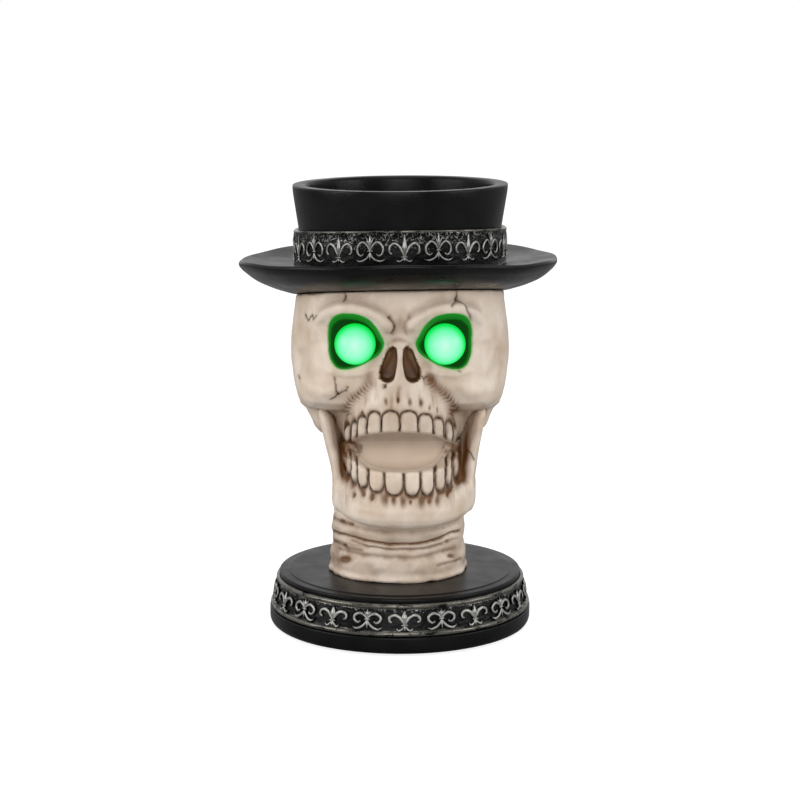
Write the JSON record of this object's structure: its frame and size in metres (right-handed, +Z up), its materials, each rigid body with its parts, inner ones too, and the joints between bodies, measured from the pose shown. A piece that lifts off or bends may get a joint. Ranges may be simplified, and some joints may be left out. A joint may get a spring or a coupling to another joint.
{
  "type": "candle holder",
  "caption": "Pillar candle holder: an open-mouthed skull in a top hat on a round plinth, with a candle cup in the crown and lit domes in the eye sockets.",
  "frame": {"origin": "on the floor, under the middle of the plinth", "axes": "+Z up from the floor to the rim of the candle cup, -Y out of the face, +X to the right for someone who looks at the face"},
  "size_m": [0.1851, 0.1852, 0.2612],
  "materials": {
    "bone_resin": "bone paint with a brown wash",
    "black_resin": "semi-gloss charcoal black paint",
    "silvered_resin": "silver dry-brushed over black",
    "green_diffuser": "frosted translucent dome",
    "green_lamp": "clear lamp, lit",
    "black_plastic": "fine moulded texture",
    "cell_jacket": "plain printed sleeve",
    "plated_steel": "bright nickel plating",
    "wire_sleeve": "soft vinyl sleeve",
    "felt_pad": "matte foam rubber"
  },
  "bodies": {
    "figure": {"plinth": "black_resin", "plinth_band": "silvered_resin", "foot_pad_1": "felt_pad", "foot_pad_2": "felt_pad", "foot_pad_3": "felt_pad", "foot_pad_4": "felt_pad", "battery_box": "black_plastic", "battery_1": "cell_jacket", "battery_2": "cell_jacket", "battery_3": "cell_jacket", "contact_spring_1": "plated_steel", "contact_spring_2": "plated_steel", "contact_spring_3": "plated_steel", "contact_plate_1": "plated_steel", "contact_plate_2": "plated_steel", "contact_plate_3": "plated_steel", "switch_body": "black_plastic", "box_screw_1": "plated_steel", "box_screw_2": "plated_steel", "neck": "bone_resin", "lower_jaw": "bone_resin", "skull": "bone_resin", "hat": "black_resin", "hat_band": "silvered_resin", "eye_dome_left": "green_diffuser", "eye_dome_right": "green_diffuser", "eye_led_left": "green_lamp", "eye_led_right": "green_lamp", "eye_wire_left": "wire_sleeve", "eye_wire_right": "wire_sleeve"},
    "door": {"battery_door": "black_plastic"},
    "slider": {"switch_slider": "black_plastic"}
  },
  "joints": [
    {"name": "battery_door_hinge", "type": "hinge", "parent": "figure", "child": "door", "pos_m": [0.006, 0.01675, 0.003], "axis": [1, 0, 0], "range_deg": [0, 95]},
    {"name": "switch_slide", "type": "slide", "parent": "figure", "child": "slider", "axis": [0, 1, 0], "range_m": [0, 0.003]}
  ]
}
